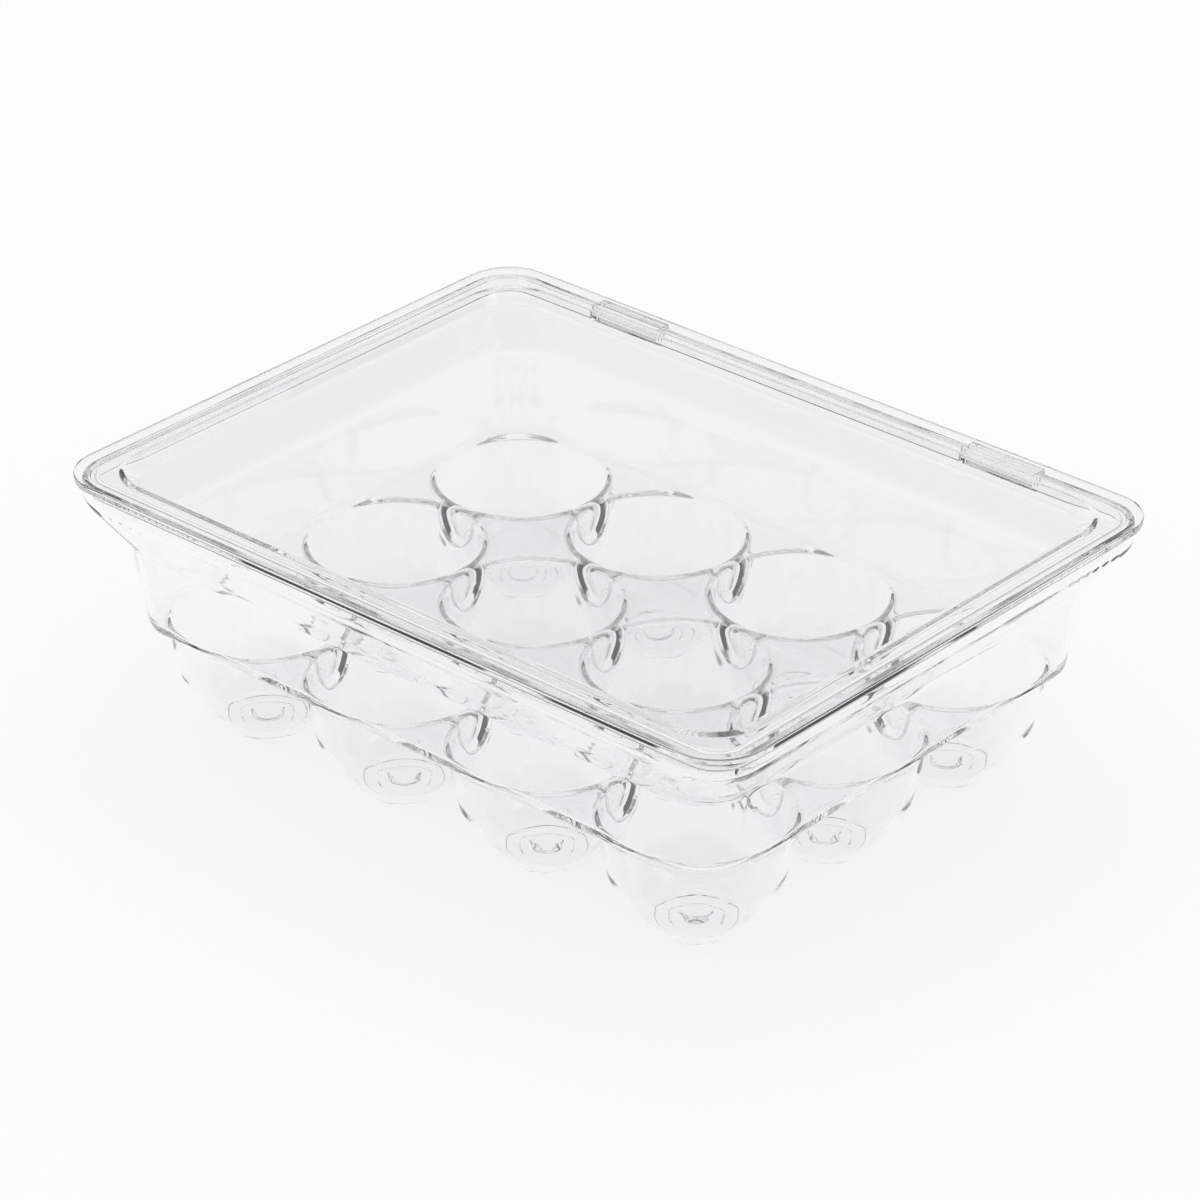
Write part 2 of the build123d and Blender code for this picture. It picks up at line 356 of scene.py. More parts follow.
@dataclass(frozen=True)
class TraySkin:
    """One side of the tray's moulding: its cups and webs, its floor and the foot of its wall."""

    bowl: Bowl
    floor: float
    web_round: float
    mouth_round: float
    foot_round: float
    inset: float
    base: tuple[tuple[float, float, float], ...]
    base_depths: tuple[float, ...]
    pitch: float = 52.0
    columns: int = 4
    rows: int = 3
    ring_depth: float = 15.0
    web: Bowl = Bowl(7.1, 12.2, 2.2)
    wall: WallShape = WallShape()

    def cup_centre(self, column: int, row: int) -> np.ndarray:
        """Plan position of a cup's axis."""
        return np.array(
            ((column - (self.columns - 1) / 2) * self.pitch, (row - (self.rows - 1) / 2) * self.pitch)
        )

    def nearest(self, value: np.ndarray, count: int) -> np.ndarray:
        """Offset from the nearest of a row of cup axes.

        Args:
            value: coordinates along the row.
            count: how many cups it has.

        Returns:
            The offsets.
        """
        middle = (count - 1) / 2
        index = np.clip(np.round(value / self.pitch + middle), 0, count - 1)
        return value - (index - middle) * self.pitch

    def base_profile(self) -> np.ndarray:
        """The lower bowl's profile from its axis out and up to the ring, as (radius, height).

        Returns:
            Its points, a row each.
        """
        depths = np.array((*self.base_depths, self.ring_depth))
        curve = np.stack((self.bowl.radius_at(depths), -depths), axis=1)
        return np.concatenate((rounded_path(list(self.base), 2), curve))

    def wall_distance(self, points: np.ndarray) -> np.ndarray:
        """Distance from the leaning foot of the wall, negative within the tray.

        Args:
            points: points, a row each.

        Returns:
            A distance for each point.
        """
        lean_x = (self.wall.bend[0] - self.wall.foot[0]) / self.wall.bend_height
        radius = self.wall.foot_corner - self.inset
        grown = lean_x * points[:, 2] - self.inset - radius
        over_x = np.abs(points[:, 0]) - (self.wall.foot[0] + grown)
        over_y = np.abs(points[:, 1]) - (self.wall.foot[1] + grown)
        outside = np.hypot(np.maximum(over_x, 0.0), np.maximum(over_y, 0.0))
        inside = np.minimum(np.maximum(over_x, over_y), 0.0)
        return (outside + inside - radius) * math.cos(math.atan(lean_x))

    def bowls_distance(self, points: np.ndarray) -> np.ndarray:
        """Signed distance of the nearest bowl, joined to its neighbours by webs where it has any.

        Args:
            points: an array of xyz.

        Returns:
            Signed distances, negative inside.
        """
        x, y, z = points[:, 0], points[:, 1], points[:, 2]
        off_x = self.nearest(x, self.columns)
        off_y = self.nearest(y, self.rows)
        joined = self.bowl.distance(np.hypot(off_x, off_y), z)
        if self.web_round == 0.0:
            return joined
        end_x = np.abs(x) - (self.columns - 1) / 2 * self.pitch
        end_y = np.abs(y) - (self.rows - 1) / 2 * self.pitch
        along_x = np.maximum(self.web.distance(np.abs(off_y), z), end_x)
        along_y = np.maximum(self.web.distance(np.abs(off_x), z), end_y)
        return smooth_min(joined, np.minimum(along_x, along_y), self.web_round)

    def distance(self, points: np.ndarray) -> np.ndarray:
        """Signed distance of this side's surface, with every edge rounded.

        Args:
            points: an array of xyz.

        Returns:
            Signed distances, negative on the cup side of the surface.
        """
        room = smooth_max(self.floor - points[:, 2], self.wall_distance(points), self.foot_round)
        return smooth_min(room, self.bowls_distance(points), self.mouth_round)

    def settle(self, points: np.ndarray, rounds: int = 8) -> np.ndarray:
        """Move points along the field's slope until they lie on its surface.

        Args:
            points: an array of any shape whose last axis is xyz.
            rounds: how many steps to take.

        Returns:
            The points on the surface.
        """
        shape = points.shape
        moved = points.reshape(-1, 3).copy()
        step = 1e-3
        for _ in range(rounds):
            value = self.distance(moved)
            slope = np.empty_like(moved)
            for axis in range(3):
                shift = np.zeros(3)
                shift[axis] = step
                rise = self.distance(moved + shift) - self.distance(moved - shift)
                slope[:, axis] = rise / (2 * step)
            square = np.maximum((slope**2).sum(axis=1), 0.05)
            moved -= (value / square)[:, None] * slope
        return moved.reshape(shape)


class Side(Enum):
    """The four sides of a cup's cell, by the turn about Z that brings them to +X."""

    EAST = 0
    NORTH = 1
    WEST = 2
    SOUTH = 3


@dataclass
class CupCell:
    """The rays of one cup's cell: from a ring in the bowl, over its mouth, to the cell's edge."""

    skin: TraySkin
    column: int
    row: int
    web_steps: int = 16
    web_brim: float = 0.6
    web_dip: float = 0.3
    corner_steps: int = 10
    wall_reach: float = 9.0
    bowl_shares: tuple[float, ...] = (0.0, 0.45, 0.68, 0.81, 0.89, 0.94, 0.975, 1.0)
    shelf_shares: tuple[float, ...] = (0.06, 0.14, 0.26, 0.42, 0.65, 1.0)

    def has_neighbour(self, side: Side) -> bool:
        """Whether another cup lies on that side."""
        return {
            Side.EAST: self.column < self.skin.columns - 1,
            Side.NORTH: self.row < self.skin.rows - 1,
            Side.WEST: self.column > 0,
            Side.SOUTH: self.row > 0,
        }[side]

    def reach(self, side: Side) -> float:
        """Distance from the cup's axis to the cell's edge on a side.

        Args:
            side: the side.

        Returns:
            The distance.
        """
        if self.has_neighbour(side):
            return self.skin.pitch / 2
        axis = side.value % 2
        centre = abs(self.skin.cup_centre(self.column, self.row)[axis])
        return self.skin.wall.foot[axis] - self.skin.inset - centre

    def web_section(self) -> np.ndarray:
        """The U of a web half way between two cups, from floor to floor, as (across, height).

        Returns:
            Its points, a row each.
        """
        skin = self.skin
        power = 2.0 / skin.web.curve
        turns = np.linspace(0.0, math.pi, self.web_steps + 1)[1:-1]
        across = -skin.web.radius * np.sign(np.cos(turns)) * np.abs(np.cos(turns)) ** power
        height = np.minimum(-skin.web.drop * np.sin(turns) ** power, skin.floor - self.web_dip)
        curve = np.stack((across, height), axis=1)
        brim = skin.web.radius + self.web_brim
        return np.concatenate(([(-brim, skin.floor)], curve, [(brim, skin.floor)]))

    def corner_edge(self, side: Side, following: Side) -> tuple[np.ndarray, np.ndarray]:
        """The cell's edge round the corner between two sides, with +X turned to the first.

        Args:
            side: the first side.
            following: the side a quarter turn on.

        Returns:
            The edge's plan points, and which of them lie on the wall.
        """
        skin = self.skin
        half = self.corner_steps // 2
        starts = []
        for each in (side, following):
            neighbour = self.has_neighbour(each)
            starts.append(skin.web.radius if neighbour else self.wall_reach)
        reach_x, reach_y = self.reach(side), self.reach(following)
        walls = (not self.has_neighbour(side), not self.has_neighbour(following))
        if all(walls):
            radius = skin.wall.foot_corner - skin.inset
            turns = np.linspace(0.0, math.pi / 2, self.corner_steps - 1)
            arc = np.stack(
                (reach_x - radius + radius * np.cos(turns), reach_y - radius + radius * np.sin(turns)),
                axis=1,
            )
            edge = np.concatenate(([(reach_x, starts[0])], arc, [(starts[1], reach_y)]))
            return edge, np.ones(len(edge), dtype=bool)
        first = [(reach_x, blend(starts[0], reach_y, step / half)) for step in range(half + 1)]
        second = [(blend(reach_x, starts[1], step / half), reach_y) for step in range(1, half + 1)]
        on_wall = [walls[0]] * half + [any(walls)] + [walls[1]] * half
        return np.array(first + second), np.array(on_wall)

    def mouth(self, turns: np.ndarray) -> np.ndarray:
        """Points of the cup's mouth, level with the floor.

        Args:
            turns: their angles from +X.

        Returns:
            The points, a row each.
        """
        radius = float(self.skin.bowl.radius_at(np.array(-self.skin.floor)))
        height = np.full_like(turns, self.skin.floor)
        return np.stack((radius * np.cos(turns), radius * np.sin(turns), height), axis=1)

    def rays(self) -> tuple[np.ndarray, np.ndarray, np.ndarray, np.ndarray]:
        """The start, mouth and end of every ray.

        Returns:
            Ring angles, mouth points, edge points, all round the cup's axis at the origin, and
            which edge points lie on the tray's wall.
        """
        skin = self.skin
        mouth_radius = float(skin.bowl.radius_at(np.array(-skin.floor)))
        lap = 2 * math.pi / (4 * (self.web_steps + self.corner_steps))
        mouth_turn = math.asin(skin.web.radius / mouth_radius)
        angles, mouths, edges, walls = [], [], [], []
        for side in Side:
            following = Side((side.value + 1) % 4)
            turn = np.array(Matrix.Rotation(side.value * math.pi / 2, 3, "Z"))
            if self.has_neighbour(side) and skin.web_round > 0.0:
                section = self.web_section()
                radius = skin.bowl.radius_at(-section[:, 1])
                out = np.sqrt(radius**2 - section[:, 0] ** 2)
                mouth = np.stack((out, section[:, 0], section[:, 1]), axis=1)
                edge = mouth.copy()
                edge[:, 0] = skin.pitch / 2
            else:
                mouth = self.mouth(np.linspace(-mouth_turn, mouth_turn, self.web_steps + 1))
                half = skin.web.radius if self.has_neighbour(side) else self.wall_reach
                along = np.linspace(-half, half, self.web_steps + 1)
                reach = np.full_like(along, self.reach(side))
                edge = np.stack((reach, along, mouth[:, 2]), axis=1)
            on_wall = np.full(len(edge), not self.has_neighbour(side))
            corner, corner_walls = self.corner_edge(side, following)
            spread = np.linspace(mouth_turn, math.pi / 2 - mouth_turn, self.corner_steps + 1)
            corner_mouth = self.mouth(spread[1:-1])
            corner_edge = np.column_stack((corner[1:-1], corner_mouth[:, 2]))
            mouths.append(np.concatenate((mouth, corner_mouth)) @ turn.T)
            edges.append(np.concatenate((edge, corner_edge)) @ turn.T)
            walls.append(np.concatenate((on_wall, corner_walls[1:-1])))
            steps = np.arange(self.web_steps + self.corner_steps) - self.web_steps / 2
            angles.append(steps * lap + side.value * math.pi / 2)
        return (
            np.concatenate(angles),
            np.concatenate(mouths),
            np.concatenate(edges),
            np.concatenate(walls),
        )

    def grid(self) -> tuple[np.ndarray, list[np.ndarray]]:
        """Points of the cell's surface, and the runs of its edge that lie on the wall.

        Returns:
            Columns by rows by xyz from the ring to the cell's edge, and plan points of each run.
        """
        skin = self.skin
        centre = np.append(skin.cup_centre(self.column, self.row), 0.0)
        angles, mouths, edges, walls = self.rays()
        mouth_angles = np.arctan2(mouths[:, 1], mouths[:, 0])
        mouth_angles = angles + (mouth_angles - angles + math.pi) % (2 * math.pi) - math.pi
        rows = []
        for share in self.bowl_shares:
            turn = blend(angles, mouth_angles, share)
            height = blend(np.full_like(angles, -skin.ring_depth), mouths[:, 2], share)
            radius = skin.bowl.radius_at(-height)
            rows.append(np.stack((radius * np.cos(turn), radius * np.sin(turn), height), axis=1))
        for share in self.shelf_shares:
            rows.append(blend(mouths, edges, share))
        grid = np.stack(rows, axis=1) + centre
        grid[:, 1:] = skin.settle(grid[:, 1:])
        runs = []
        if walls.any():
            start = int(np.argmax(~walls)) if not walls.all() else 0
            order = [(start + step) % len(walls) for step in range(len(walls))]
            run: list[int] = []
            for index in order + [start]:
                if walls[index]:
                    run.append(index)
                elif run:
                    runs.append(edges[run] + centre)
                    run = []
        return grid, runs


def add_node(
    tree: bpy.types.NodeTree,
    kind: str,
    settings: dict[str, object] | None,
    inputs: dict[str | int, object],
) -> bpy.types.Node:
    """Add a node to any kind of tree.

    Args:
        tree: the tree.
        kind: the node's type.
        settings: its properties, set first.
        inputs: its inputs by name or number, each a constant or the socket that feeds it.

    Returns:
        The node.
    """
    node = tree.nodes.new(kind)
    for key, value in (settings or {}).items():
        setattr(node, key, value)
    for key, value in inputs.items():
        if isinstance(value, bpy.types.NodeSocket):
            tree.links.new(value, node.inputs[key])
        else:
            node.inputs[key].default_value = value
    return node


class NodeTree:
    """A geometry node group that is written as calls, with named inputs."""

    def __init__(self, name: str) -> None:
        """Make an empty group with a geometry input and output.

        Args:
            name: the group's name.
        """
        self.group = bpy.data.node_groups.new(name, "GeometryNodeTree")
        face = self.group.interface
        face.new_socket("Geometry", in_out="INPUT", socket_type="NodeSocketGeometry")
        face.new_socket("Geometry", in_out="OUTPUT", socket_type="NodeSocketGeometry")
        self.inputs = self.group.nodes.new("NodeGroupInput")

    def named_input(self, name: str, kind: str) -> bpy.types.NodeSocket:
        """Add an input of a socket type and return its socket inside the group."""
        self.group.interface.new_socket(name, in_out="INPUT", socket_type=kind)
        return self.inputs.outputs[name]

    def add(
        self, kind: str, settings: dict[str, object] | None = None, **values: object
    ) -> bpy.types.Node:
        """Add a node.

        Args:
            kind: the node's type.
            settings: its properties, set first.
            values: its inputs by name, with underscores for spaces, or by number as in0, in1.

        Returns:
            The node.
        """
        inputs = {
            int(key[2:]) if key[2:].isdigit() else key.replace("_", " "): value
            for key, value in values.items()
        }
        return add_node(self.group, kind, settings, inputs)

    def math(self, operation: str, first: object, second: object = 0.0) -> bpy.types.NodeSocket:
        """Add a Math node and return its result."""
        node = self.add("ShaderNodeMath", {"operation": operation}, in0=first, in1=second)
        return node.outputs[0]

    def finish(self, geometry: bpy.types.NodeSocket, material: bpy.types.NodeSocket) -> None:
        """Realize the instances, set the material and send the result out.

        Args:
            geometry: what the tree made.
            material: its finish.
        """
        real = self.add("GeometryNodeRealizeInstances", Geometry=geometry)
        dressed = self.add("GeometryNodeSetMaterial", Geometry=real.outputs[0], Material=material)
        self.add("NodeGroupOutput", Geometry=dressed.outputs[0])


def turned_bowls_tree() -> bpy.types.NodeTree:
    """Turn a profile about its upright axis and set the bowls out in a grid.

    Returns:
        A group whose geometry input is the profile as a row of points: radius in X, height in Z.
    """
    tree = NodeTree("turned_bowls")
    spacing = tree.named_input("Spacing", "NodeSocketFloat")
    columns = tree.named_input("Columns", "NodeSocketInt")
    rows = tree.named_input("Rows", "NodeSocketInt")
    segments = tree.named_input("Segments", "NodeSocketInt")
    material = tree.named_input("Material", "NodeSocketMaterial")
    profile = tree.inputs.outputs["Geometry"]

    size = tree.add("GeometryNodeAttributeDomainSize", Geometry=profile)
    around = tree.math("ADD", segments, 1.0)
    sheet = tree.add(
        "GeometryNodeMeshGrid", Vertices_X=size.outputs["Point Count"], Vertices_Y=around
    )
    index = tree.add("GeometryNodeInputIndex").outputs[0]
    along = tree.math("FLOOR", tree.math("DIVIDE", tree.math("ADD", index, 0.5), around))
    turn = tree.math("SUBTRACT", index, tree.math("MULTIPLY", along, around))
    angle = tree.math("DIVIDE", tree.math("MULTIPLY", turn, 2.0 * math.pi), segments)
    spot = tree.add(
        "GeometryNodeSampleIndex",
        {"data_type": "FLOAT_VECTOR", "domain": "POINT"},
        Geometry=profile,
        Value=tree.add("GeometryNodeInputPosition").outputs[0],
        Index=along,
    )
    parts = tree.add("ShaderNodeSeparateXYZ", in0=spot.outputs[0])
    place = tree.add(
        "ShaderNodeCombineXYZ",
        X=tree.math("MULTIPLY", parts.outputs["X"], tree.math("COSINE", angle)),
        Y=tree.math("MULTIPLY", parts.outputs["X"], tree.math("SINE", angle)),
        Z=parts.outputs["Z"],
    )
    bowl = tree.add(
        "GeometryNodeSetPosition", Geometry=sheet.outputs["Mesh"], Position=place.outputs[0]
    )
    spread_x = tree.math("MULTIPLY", spacing, tree.math("SUBTRACT", columns, 1.0))
    spread_y = tree.math("MULTIPLY", spacing, tree.math("SUBTRACT", rows, 1.0))
    places = tree.add(
        "GeometryNodeMeshGrid", Size_X=spread_x, Size_Y=spread_y, Vertices_X=columns, Vertices_Y=rows
    )
    spread = tree.add(
        "GeometryNodeInstanceOnPoints", Points=places.outputs["Mesh"], Instance=bowl.outputs[0]
    )
    tree.finish(spread.outputs[0], material)
    return tree.group


def run_tree(
    tree: bpy.types.NodeTree, points: np.ndarray, values: dict[str, object]
) -> bpy.types.Mesh:
    """Run a node group on a row of points.

    Args:
        tree: the group.
        points: the row, as an array of xyz.
        values: the group's inputs by name.

    Returns:
        The result as a plain mesh.
    """
    row = bpy.data.meshes.new("row")
    row.from_pydata(points.tolist(), [(i, i + 1) for i in range(len(points) - 1)], [])
    carrier = bpy.data.objects.new("carrier", row)
    bpy.context.scene.collection.objects.link(carrier)
    modifier = carrier.modifiers.new("tree", "NODES")
    modifier.node_group = tree
    for item in tree.interface.items_tree:
        if item.item_type == "SOCKET" and item.in_out == "INPUT" and item.name in values:
            modifier[item.identifier] = values[item.name]
    evaluated = carrier.evaluated_get(bpy.context.evaluated_depsgraph_get())
    mesh = bpy.data.meshes.new_from_object(evaluated)
    bpy.data.objects.remove(carrier)
    bpy.data.meshes.remove(row)
    return mesh


class Run(Enum):
    """The kinds of place that a column of points can have on a rounded outline."""

    CORNER = "corner"
    ALONG_X = "along x"
    ALONG_Y = "along y"
    FIXED_X = "fixed x"


@dataclass(frozen=True)
class Place:
    """Where a column of points stands on a rounded rectangular outline.

    The share is an angle on a corner, a signed share of a straight run along it, or an X.
    """

    run: Run
    share: float
    sign_x: int = 1
    sign_y: int = 1

    @property
    def at_back(self) -> bool:
        """Whether it is on the straight run along the hinge side."""
        return self.run in (Run.ALONG_X, Run.FIXED_X) and self.sign_y > 0

    def plan(self, half_x: float, half_y: float, radius: float) -> tuple[float, float]:
        """Its plan position on one outline.

        Args:
            half_x: the outline's half length along X.
            half_y: the outline's half length along Y.
            radius: its corner radius.

        Returns:
            X and Y.
        """
        if self.run is Run.CORNER:
            x = half_x - radius + radius * math.cos(self.share)
            y = half_y - radius + radius * math.sin(self.share)
            return self.sign_x * x, self.sign_y * y
        if self.run is Run.ALONG_Y:
            return self.sign_x * half_x, self.share * (half_y - radius)
        x = self.share if self.run is Run.FIXED_X else self.share * (half_x - radius)
        return x, self.sign_y * half_y


@dataclass
class Tray:
    """The tray's moulding: twelve cups, their webs and floor, and the wall up to its lip."""

    floor_height: float = 34.0
    wall: WallShape = WallShape()
    hinge_middle: float = 67.0
    hinge_width: float = 25.06
    gap_slack: float = 0.2
    gap_height: float = 37.0
    upright_over: float = 2.0
    remap_from: float = 24.0
    remap_to: float = 34.0
    settled_below: float = 4.0
    inside: TraySkin = TraySkin(
        bowl=Bowl(24.1, 34.8), floor=0.0, web_round=0.0, mouth_round=2.3, foot_round=1.6,
        inset=1.811,
        base=(
            (0.0, -31.4, 0.0), (4.1, -31.4, 0.25), (4.7, -32.0, 0.35), (10.0, -32.0, 0.0),
            (10.9, -31.92, 0.0),
        ),
        base_depths=(31.5, 30.5, 28.8, 26.4, 23.2, 19.2),
    )
    outside: TraySkin = TraySkin(
        bowl=Bowl(25.7, 36.5), floor=-2.0, web_round=0.7, mouth_round=1.4, foot_round=1.8,
        inset=0.0, ring_depth=17.5,
        base=(
            (0.0, -33.5, 0.0), (7.0, -33.5, 0.25), (7.5, -34.0, 0.25), (11.5, -34.0, 0.35),
            (11.5, -32.8, 0.25), (12.8, -32.8, 0.0),
        ),
        base_depths=(32.2, 30.8, 28.7, 26.0, 23.0, 20.0),
    )
    inner_rises: tuple[float, ...] = (0.25, 0.6, 1.1, 1.8, 3.0, 6.0, 12.0, 18.0, 21.5)
    outer_rises: tuple[float, ...] = (-1.75, -1.4, -1.0, -0.5, 0.2, 1.2, 3.0, 6.0, 12.0, 18.0, 21.5)
    flare_rises: tuple[float, ...] = (
        22.4, 23.0, 23.5, 24.0, 24.6, 26.0, 29.0, 32.0, 33.8, 34.7, 35.4, 36.0, 36.5
    )
    lip_rises: tuple[float, ...] = (37.6, 38.4)
    lip_steps: int = 8

    def place_of(self, spot: np.ndarray, skin: TraySkin) -> Place:
        """Where a point of the wall's foot stands on the outline.

        Args:
            spot: the point.
            skin: which side of the moulding it is on.

        Returns:
            Its place: a share of a straight run, or an angle round a corner.
        """
        radius = self.wall.foot_corner - skin.inset
        middle_x = self.wall.foot[0] - skin.inset - radius
        middle_y = self.wall.foot[1] - skin.inset - radius
        signs = (1 if spot[0] >= 0 else -1, 1 if spot[1] >= 0 else -1)
        over_x, over_y = abs(spot[0]) - middle_x, abs(spot[1]) - middle_y
        if over_x > 1e-6 and over_y > 1e-6:
            return Place(Run.CORNER, math.atan2(over_y, over_x), *signs)
        if over_x > over_y:
            return Place(Run.ALONG_Y, spot[1] / middle_y, *signs)
        return Place(Run.ALONG_X, spot[0] / middle_x, *signs)

    def hinge_map(self, places: list[Place]) -> tuple[np.ndarray, np.ndarray]:
        """Bring four columns of the back wall to the edges of the two hinge gaps.

        Args:
            places: the columns' places.

        Returns:
            Shares and the X each has, as a part of the straight run's half, for interpolation.
        """
        reach = self.wall.lip[0] - self.wall.lip_corner
        shares = sorted({place.share for place in places if place.at_back})
        targets = [
            side * (self.hinge_middle + end * self.hinge_width / 2)
            for side, end in ((-1, 1), (-1, -1), (1, -1), (1, 1))
        ]
        nearest = [min(shares, key=lambda share: abs(share * reach - target)) for target in targets]
        keys = np.array((-1.0, nearest[0], nearest[1], 0.0, nearest[2], nearest[3], 1.0))
        values = np.array((-reach, targets[0], targets[1], 0.0, targets[2], targets[3], reach))
        return keys, values / reach

    def spot(
        self, place: Place, height: float, inset: float, level: float,
        hinges: tuple[np.ndarray, np.ndarray],
    ) -> tuple[float, float, float]:
        """A point of the wall.

        Args:
            place: the column it is in.
            height: the height that the outline is taken at.
            inset: how far it is inside the outline, level.
            level: its own height.
            hinges: the map that brings columns to the hinge gaps.

        Returns:
            Its x, y and z.
        """
        radius = self.wall.corner(height) - inset
        half_x = self.wall.half(0, height) - inset
        half_y = self.wall.half(1, height) - inset
        x, y = place.plan(half_x, half_y, radius)
        if place.at_back:
            rise = (height - self.remap_from) / (self.remap_to - self.remap_from)
            rise = min(max(rise, 0.0), 1.0)
            target = float(np.interp(place.share, *hinges)) * (half_x - radius)
            x = blend(x, target, rise * rise * (3.0 - 2.0 * rise))
        return x, y, level

    def side(
        self, place: Place, heights: tuple[float, ...], depth: float,
        hinges: tuple[np.ndarray, np.ndarray],
    ) -> list[tuple[float, float, float]]:
        """Points up one face of the wall.

        Args:
            place: the column.
            heights: heights on the outer face.
            depth: how far inside the outer face, square to it.
            hinges: the map that brings columns to the hinge gaps.

        Returns:
            The points.
        """
        points = []
        for height in heights:
            lean_x, lean_y = self.wall.lean(0, height), self.wall.lean(1, height)
            if place.run is Run.CORNER:
                lean = lean_x * math.cos(place.share) ** 2 + lean_y * math.sin(place.share) ** 2
            else:
                lean = lean_y if place.run is Run.ALONG_X else lean_x
            lean *= min((self.gap_height - height) / self.upright_over, 1.0)
            inset, lift = depth * math.cos(lean), depth * math.sin(lean)
            points.append(self.spot(place, height, inset, height + lift, hinges))
        return points

    def lip(
        self, place: Place, cut: bool, hinges: tuple[np.ndarray, np.ndarray]
    ) -> list[tuple[float, float, float]]:
        """Points over the lip from inside to outside, above the level of the hinge gaps.

        Args:
            place: the column.
            cut: whether it is in a hinge gap.
            hinges: the map that brings columns to the hinge gaps.

        Returns:
            The points, with the same number either way.
        """
        thickness, top = self.wall.thickness, self.wall.top_height
        centre = top - thickness / 2
        turns = [math.pi * step / self.lip_steps for step in range(self.lip_steps + 1)]
        steps = [(thickness, self.gap_height)]
        steps += [(thickness, rise) for rise in self.lip_rises]
        steps += [
            (thickness / 2 * (1 + math.cos(turn)), centre + thickness / 2 * math.sin(turn))
            for turn in turns
        ]
        steps += [(0.0, rise) for rise in reversed(self.lip_rises)]
        steps += [(0.0, self.gap_height)]
        if cut:
            shares = np.linspace(thickness, 0.0, len(steps))
            steps = [(share, self.gap_height) for share in shares]
        return [self.spot(place, level, inset, level, hinges) for inset, level in steps]

    def add_wall(self, skin: SkinMesh, inner_runs: list, outer_runs: list) -> None:
        """Add the wall from the cups' outline up over the lip and down outside.

        Args:
            skin: the mesh that takes it.
            inner_runs: runs of points along the wall's foot inside.
            outer_runs: the same runs outside.
        """
        placed = [[self.place_of(spot, self.inside) for spot in run] for run in inner_runs]
        hinges = self.hinge_map([place for run in placed for place in run])
        thickness = self.wall.thickness
        above = (*self.flare_rises, self.gap_height)
        capped: set[float] = set()
        for places, inner_foot, outer_foot in zip(placed, inner_runs, outer_runs):
            inner = np.array(
                [[tuple(foot), *self.side(place, self.inner_rises, thickness, hinges)]
                 for place, foot in zip(places, inner_foot)]
            )
            outer = np.array(
                [[tuple(foot), *self.side(place, self.outer_rises, 0.0, hinges)]
                 for place, foot in zip(places, outer_foot)]
            )
            low = [i for i, z in enumerate((0.0, *self.inner_rises)) if z < self.settled_below]
            inner[:, low] = self.inside.settle(inner[:, low])
            low = [i for i, z in enumerate((-2.0, *self.outer_rises)) if z < self.settled_below]
            outer[:, low] = self.outside.settle(outer[:, low])
            rise_in = np.array([self.side(place, above, thickness, hinges) for place in places])
            rise_out = np.array([self.side(place, above, 0.0, hinges) for place in places])
            skin.add_grid(np.concatenate((inner, rise_in), axis=1))
            skin.add_grid(np.concatenate((outer, rise_out), axis=1))
            whole = np.array([self.lip(place, False, hinges) for place in places])
            cut = np.array([self.lip(place, True, hinges) for place in places])
            for index, place in enumerate(places):
                across = round(whole[index, 0, 0], 3)
                edge = abs(abs(across) - self.hinge_middle) - self.hinge_width / 2
                if place.at_back and abs(edge) < self.gap_slack and across not in capped:
                    capped.add(across)
                    skin.add_cap(np.concatenate((whole[index], cut[index, -2:0:-1])))
                if index + 1 == len(places):
                    continue
                middle = (whole[index, 0] + whole[index + 1, 0]) / 2
                in_gap = abs(abs(middle[0]) - self.hinge_middle) < self.hinge_width / 2
                in_gap = in_gap and place.at_back and middle[1] > 0
                patch = cut if in_gap else whole
                skin.add_grid(patch[index : index + 2], smooth=not in_gap)

    def build(self, material: bpy.types.Material) -> bpy.types.Object:
        """Make the tray's skin.

        Args:
            material: its finish.

        Returns:
            The tray.
        """
        skin = SkinMesh()
        tree = turned_bowls_tree()
        foot_runs = []
        for side in (self.inside, self.outside):
            profile = side.base_profile()
            cell = CupCell(side, 0, 0)
            points = np.stack((profile[:, 0], np.zeros(len(profile)), profile[:, 1]), axis=1)
            bowls = run_tree(
                tree,
                points,
                {
                    "Spacing": side.pitch,
                    "Columns": side.columns,
                    "Rows": side.rows,
                    "Segments": 4 * (cell.web_steps + cell.corner_steps),
                    "Material": material,
                },
            )
            skin.add_mesh(bowls)
            bpy.data.meshes.remove(bowls)
            runs: list[np.ndarray] = []
            for row in range(side.rows):
                for column in range(side.columns):
                    grid, wall_runs = CupCell(side, column, row).grid()
                    skin.add_grid(grid, closed=True)
                    runs.extend(wall_runs)
            foot_runs.append(runs)
        self.add_wall(skin, *foot_runs)
        tray = skin.build("tray_moulding", self.floor_height)
        tray.data.materials.append(material)
        return tray


# ---------------------------------------------------------------- lid
class Hung(Enum):
    """What hangs under the lid's flange along a stretch of it."""

    NOTHING = "nothing"
    RIB = "rib"
    CLIP = "clip"


